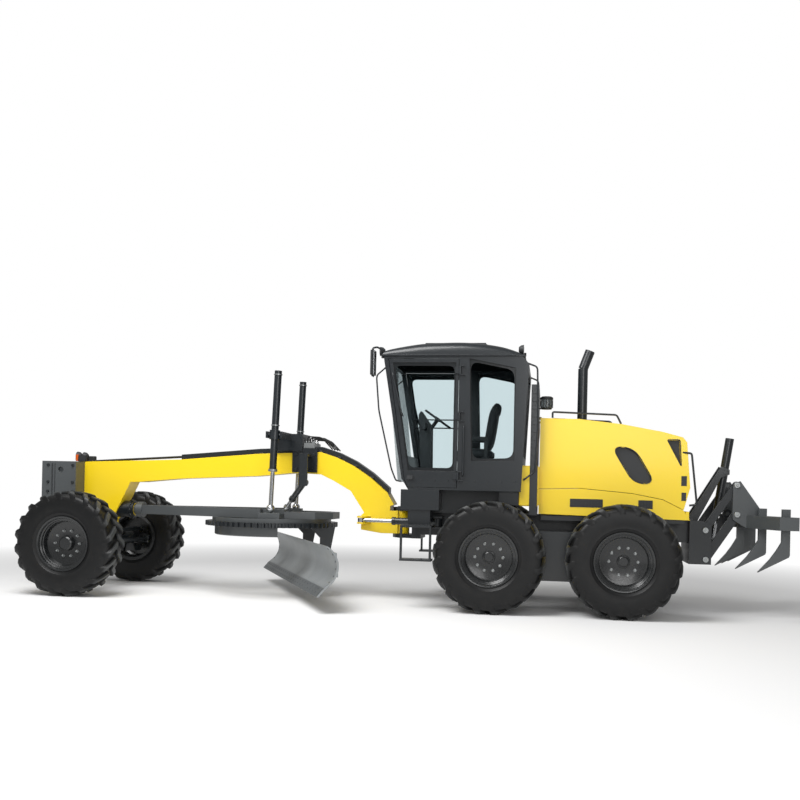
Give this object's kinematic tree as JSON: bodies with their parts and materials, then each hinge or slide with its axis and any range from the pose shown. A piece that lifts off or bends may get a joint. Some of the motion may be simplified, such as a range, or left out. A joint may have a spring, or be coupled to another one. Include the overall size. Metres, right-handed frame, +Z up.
{
  "type": "motor grader",
  "caption": "Articulated motor grader with arched boom, turning circle and blade, leaning front wheels, closed cab, tandem rear drive and a rear ripper.",
  "frame": {"origin": "on the ground, in the middle of the whole machine's length and width", "axes": "X forward, Y to the machine's left, Z up"},
  "size_m": [9.6999, 3.6719, 3.375],
  "materials": {
    "yellow_paint": "satin machine yellow paint",
    "grey_paint": "satin mid-grey paint",
    "charcoal_paint": "satin charcoal paint",
    "rod_chrome": "hard-chromed rod",
    "tyre_rubber": "matt black rubber",
    "tinted_glass": "tinted safety glass",
    "seat_fabric": "dark woven cover",
    "dash_plastic": "grained dark plastic"
  },
  "bodies": {
    "rear_frame": {"rear_frame": "charcoal_paint", "tandem_cases": "charcoal_paint", "cab_frame": "charcoal_paint", "cab_roof": "charcoal_paint", "cab_glass": "tinted_glass", "seat": "seat_fabric", "console": "dash_plastic", "side_panels": "yellow_paint", "cowl": "charcoal_paint", "engine_block": "charcoal_paint"},
    "hood": {"hood": "yellow_paint", "exhaust": "charcoal_paint"},
    "door_left": {"door_left": "charcoal_paint", "door_left_glass": "tinted_glass"},
    "door_right": {"door_right": "charcoal_paint", "door_right_glass": "tinted_glass"},
    "front_frame": {"front_frame": "yellow_paint", "push_block": "charcoal_paint", "front_axle": "charcoal_paint", "saddle": "charcoal_paint"},
    "ripper_frame": {"ripper_frame": "charcoal_paint", "ripper_shanks": "charcoal_paint"},
    "carrier_left": {"carrier_left": "grey_paint"},
    "carrier_right": {"carrier_right": "grey_paint"},
    "knuckle_left": {"knuckle_left": "charcoal_paint"},
    "knuckle_right": {"knuckle_right": "charcoal_paint"},
    "tie_rod_ball": {"tie_rod_ball": "charcoal_paint"},
    "tie_rod": {"tie_rod": "charcoal_paint"},
    "lean_bar": {"lean_bar": "grey_paint"},
    "drawbar_ball": {"drawbar_ball": "grey_paint"},
    "drawbar": {"drawbar": "grey_paint"},
    "circle": {"circle": "charcoal_paint"},
    "blade_carrier": {"blade_carrier": "charcoal_paint"},
    "moldboard": {"moldboard": "grey_paint"},
    "lift_barrel_left": {"lift_barrel_left": "charcoal_paint"},
    "lift_barrel_right": {"lift_barrel_right": "charcoal_paint"},
    "lift_rod_left": {"lift_rod_left": "rod_chrome"},
    "lift_rod_right": {"lift_rod_right": "rod_chrome"},
    "shift_barrel": {"shift_barrel": "charcoal_paint"},
    "shift_rod": {"shift_rod": "rod_chrome"},
    "articulation_barrel_left": {"articulation_barrel_left": "charcoal_paint"},
    "articulation_barrel_right": {"articulation_barrel_right": "charcoal_paint"},
    "articulation_rod_left": {"articulation_rod_left": "rod_chrome"},
    "articulation_rod_right": {"articulation_rod_right": "rod_chrome"},
    "ripper_lower_link": {"ripper_lower_link": "charcoal_paint"},
    "ripper_upper_link": {"ripper_upper_link": "charcoal_paint"},
    "ripper_barrel": {"ripper_barrel": "charcoal_paint"},
    "ripper_rod": {"ripper_rod": "rod_chrome"},
    "wheel_front_left": {"tyre_front_left": "tyre_rubber", "rim_front_left": "charcoal_paint"},
    "wheel_front_right": {"tyre_front_right": "tyre_rubber", "rim_front_right": "charcoal_paint"},
    "wheel_middle_left": {"tyre_middle_left": "tyre_rubber", "rim_middle_left": "charcoal_paint"},
    "wheel_middle_right": {"tyre_middle_right": "tyre_rubber", "rim_middle_right": "charcoal_paint"},
    "wheel_rear_left": {"tyre_rear_left": "tyre_rubber", "rim_rear_left": "charcoal_paint"},
    "wheel_rear_right": {"tyre_rear_right": "tyre_rubber", "rim_rear_right": "charcoal_paint"}
  },
  "joints": [
    {"name": "spin_front_left", "type": "hinge", "parent": "knuckle_left", "child": "wheel_front_left", "pos_m": [4.085, 1.02, 0.674], "axis": [0, 1, 0], "continuous": true},
    {"name": "spin_front_right", "type": "hinge", "parent": "knuckle_right", "child": "wheel_front_right", "pos_m": [4.085, -1.02, 0.674], "axis": [0, 1, 0], "continuous": true},
    {"name": "spin_middle_left", "type": "hinge", "parent": "rear_frame", "child": "wheel_middle_left", "pos_m": [-1.319, 1.02, 0.674], "axis": [0, 1, 0], "continuous": true},
    {"name": "spin_middle_right", "type": "hinge", "parent": "rear_frame", "child": "wheel_middle_right", "pos_m": [-1.319, -1.02, 0.674], "axis": [0, 1, 0], "continuous": true},
    {"name": "spin_rear_left", "type": "hinge", "parent": "rear_frame", "child": "wheel_rear_left", "pos_m": [-2.891, 1.02, 0.674], "axis": [0, 1, 0], "continuous": true},
    {"name": "spin_rear_right", "type": "hinge", "parent": "rear_frame", "child": "wheel_rear_right", "pos_m": [-2.891, -1.02, 0.674], "axis": [0, 1, 0], "continuous": true},
    {"name": "articulation", "type": "hinge", "parent": "rear_frame", "child": "front_frame", "pos_m": [-0.085, 0, 1.03], "axis": [0, 0, 1], "range_deg": [-20, 20]},
    {"name": "articulation_swing_left", "type": "hinge", "parent": "rear_frame", "child": "articulation_barrel_left", "pos_m": [-0.62, 0.4, 1.05], "axis": [0, 0, 1], "range_deg": [-9.5, 9.5]},
    {"name": "articulation_reach_left", "type": "slide", "parent": "articulation_barrel_left", "child": "articulation_rod_left", "axis": [0.9903, -0.1393, 0], "range_m": [-0.12, 0.12]},
    {"name": "articulation_swing_right", "type": "hinge", "parent": "rear_frame", "child": "articulation_barrel_right", "pos_m": [-0.62, -0.4, 1.05], "axis": [0, 0, 1], "range_deg": [-9.5, 9.5]},
    {"name": "articulation_reach_right", "type": "slide", "parent": "articulation_barrel_right", "child": "articulation_rod_right", "axis": [0.9903, 0.1393, 0], "range_m": [-0.12, 0.12]},
    {"name": "lean", "type": "hinge", "parent": "front_frame", "child": "carrier_left", "pos_m": [4.085, 0.84, 0.52], "axis": [1, 0, 0], "range_deg": [-18, 18]},
    {"name": "lean_right", "type": "hinge", "parent": "front_frame", "child": "carrier_right", "pos_m": [4.085, -0.84, 0.52], "axis": [1, 0, 0], "range_deg": [-18, 18]},
    {"name": "lean_bar_turn", "type": "hinge", "parent": "carrier_left", "child": "lean_bar", "pos_m": [3.96, 0.84, 0.8], "axis": [1, 0, 0], "range_deg": [-18, 18]},
    {"name": "steer", "type": "hinge", "parent": "carrier_left", "child": "knuckle_left", "pos_m": [4.085, 0.84, 0.674], "axis": [0, 0, 1], "range_deg": [-40, 40]},
    {"name": "steer_right", "type": "hinge", "parent": "carrier_right", "child": "knuckle_right", "pos_m": [4.085, -0.84, 0.674], "axis": [0, 0, 1], "range_deg": [-40, 40]},
    {"name": "tie_rod_turn", "type": "hinge", "parent": "knuckle_left", "child": "tie_rod_ball", "pos_m": [3.855, 0.84, 0.66], "axis": [0, 0, 1], "range_deg": [-40, 40]},
    {"name": "tie_rod_tilt", "type": "hinge", "parent": "tie_rod_ball", "child": "tie_rod", "pos_m": [3.855, 0.84, 0.66], "axis": [1, 0, 0], "range_deg": [-18, 18]},
    {"name": "drawbar_swing", "type": "hinge", "parent": "front_frame", "child": "drawbar_ball", "pos_m": [3.645, 0, 1.104], "axis": [0, 0, 1], "range_deg": [-5, 5]},
    {"name": "drawbar_lift", "type": "hinge", "parent": "drawbar_ball", "child": "drawbar", "pos_m": [3.645, 0, 1.104], "axis": [0, 1, 0], "range_deg": [-12, 7]},
    {"name": "circle_turn", "type": "hinge", "parent": "drawbar", "child": "circle", "pos_m": [1.692, 0, 0.964], "axis": [0, 0, 1], "range_deg": [-77, 22]},
    {"name": "blade_tilt", "type": "hinge", "parent": "circle", "child": "blade_carrier", "pos_m": [1.15272, -0.26302, 0.56], "axis": [-0.4384, 0.8988, 0], "range_deg": [-10, 25]},
    {"name": "blade_shift", "type": "slide", "parent": "blade_carrier", "child": "moldboard", "axis": [0.4384, -0.8988, 0], "range_m": [-0.51, 0.69]},
    {"name": "lift_swing_left", "type": "hinge", "parent": "front_frame", "child": "lift_barrel_left", "pos_m": [1.498, 0.62, 2.13], "axis": [1, 0, 0], "range_deg": [-11.5, 11.5]},
    {"name": "lift_reach_left", "type": "slide", "parent": "lift_barrel_left", "child": "lift_rod_left", "axis": [-0.0357, 0, 0.9994], "range_m": [-0.45, 0.26]},
    {"name": "lift_swing_right", "type": "hinge", "parent": "front_frame", "child": "lift_barrel_right", "pos_m": [1.498, -0.62, 2.13], "axis": [1, 0, 0], "range_deg": [-11.5, 11.5]},
    {"name": "lift_reach_right", "type": "slide", "parent": "lift_barrel_right", "child": "lift_rod_right", "axis": [-0.0357, 0, 0.9994], "range_m": [-0.45, 0.26]},
    {"name": "shift_tip", "type": "hinge", "parent": "front_frame", "child": "shift_barrel", "pos_m": [1.164, 0.35, 1.525], "axis": [0, 1, 0], "range_deg": [-23, 39]},
    {"name": "shift_reach", "type": "slide", "parent": "shift_barrel", "child": "shift_rod", "axis": [0.4832, -0.7848, -0.3879], "range_m": [-0.23, 0.23]},
    {"name": "door_left_hinge", "type": "hinge", "parent": "rear_frame", "child": "door_left", "pos_m": [-0.896, 0.772, 2.3], "axis": [0, 0, 1], "range_deg": [0, 90]},
    {"name": "door_right_hinge", "type": "hinge", "parent": "rear_frame", "child": "door_right", "pos_m": [-0.896, -0.772, 2.3], "axis": [0, 0, -1], "range_deg": [0, 90]},
    {"name": "hood_hinge", "type": "hinge", "parent": "rear_frame", "child": "hood", "pos_m": [-1.89, 0, 2.4], "axis": [0, 1, 0], "range_deg": [0, 40]},
    {"name": "ripper_lift", "type": "hinge", "parent": "rear_frame", "child": "ripper_lower_link", "pos_m": [-3.932, 0, 0.683], "axis": [0, 1, 0], "range_deg": [-85, 4]},
    {"name": "ripper_upper", "type": "hinge", "parent": "rear_frame", "child": "ripper_upper_link", "pos_m": [-3.924, 0, 1.044], "axis": [0, 1, 0], "range_deg": [-85, 4]},
    {"name": "ripper_level", "type": "hinge", "parent": "ripper_lower_link", "child": "ripper_frame", "pos_m": [-4.295, 0, 1.245], "axis": [0, 1, 0], "range_deg": [-4, 85]},
    {"name": "ripper_cylinder_tip", "type": "hinge", "parent": "rear_frame", "child": "ripper_barrel", "pos_m": [-4.19, 0, 1.77], "axis": [0, 1, 0], "range_deg": [-1, 7]},
    {"name": "ripper_cylinder_reach", "type": "slide", "parent": "ripper_barrel", "child": "ripper_rod", "axis": [0.1456, 0, -0.9893], "range_m": [-0.02, 0.3]}
  ],
  "couplings": [
    {"joint": "articulation_swing_left", "follows": "articulation", "ratio": 0.436},
    {"joint": "articulation_reach_left", "follows": "articulation", "m_per_rad": -0.32},
    {"joint": "articulation_swing_right", "follows": "articulation", "ratio": 0.436},
    {"joint": "articulation_reach_right", "follows": "articulation", "m_per_rad": 0.32},
    {"joint": "lean_right", "follows": "lean", "ratio": 1},
    {"joint": "lean_bar_turn", "follows": "lean", "ratio": -1},
    {"joint": "steer_right", "follows": "steer", "ratio": 1},
    {"joint": "tie_rod_turn", "follows": "steer", "ratio": -1},
    {"joint": "tie_rod_tilt", "follows": "lean", "ratio": -1},
    {"joint": "lift_swing_left", "follows": "drawbar_swing", "ratio": -2.217},
    {"joint": "lift_reach_left", "follows": "drawbar_lift", "m_per_rad": 2.113},
    {"joint": "lift_swing_right", "follows": "drawbar_swing", "ratio": -2.217},
    {"joint": "lift_reach_right", "follows": "drawbar_lift", "m_per_rad": 2.113},
    {"joint": "shift_tip", "follows": "drawbar_lift", "ratio": -3.2},
    {"joint": "shift_reach", "follows": "drawbar_swing", "m_per_rad": 2.61},
    {"joint": "ripper_upper", "follows": "ripper_lift", "ratio": 1},
    {"joint": "ripper_level", "follows": "ripper_lift", "ratio": -1},
    {"joint": "ripper_cylinder_tip", "follows": "ripper_lift", "ratio": -0.07},
    {"joint": "ripper_cylinder_reach", "follows": "ripper_lift", "m_per_rad": -0.201}
  ]
}
